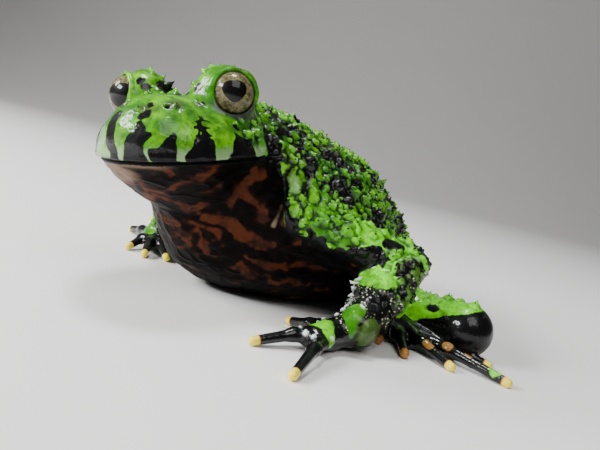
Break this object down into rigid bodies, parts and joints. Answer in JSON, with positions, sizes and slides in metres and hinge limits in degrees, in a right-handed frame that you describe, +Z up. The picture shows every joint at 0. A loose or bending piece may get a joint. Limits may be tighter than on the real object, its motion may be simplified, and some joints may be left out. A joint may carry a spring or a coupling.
{
  "type": "fire bellied toad model",
  "caption": "Still life-size model of a small warty toad that sits propped on its arms with its head turned, resting on flats under its belly, hands and feet.",
  "frame": {"origin": "middle of the bounding box, at floor level", "axes": "+X towards the front of the body, +Y to the toad's left, +Z up"},
  "size_m": [0.0436, 0.056, 0.0216],
  "materials": {
    "skin": "moist warty skin, bright green and black above, orange red marbled with black below",
    "eye": "wet gloss, golden brown iris with a black pupil"
  },
  "bodies": {
    "root": {"torso": "skin", "head": "skin", "eye_left": "eye", "eye_right": "eye", "upper_arm_left": "skin", "forearm_left": "skin", "hand_left": "skin", "upper_arm_right": "skin", "forearm_right": "skin", "hand_right": "skin", "thigh_left": "skin", "shank_left": "skin", "foot_left": "skin", "thigh_right": "skin", "shank_right": "skin", "foot_right": "skin"}
  },
  "joints": []
}
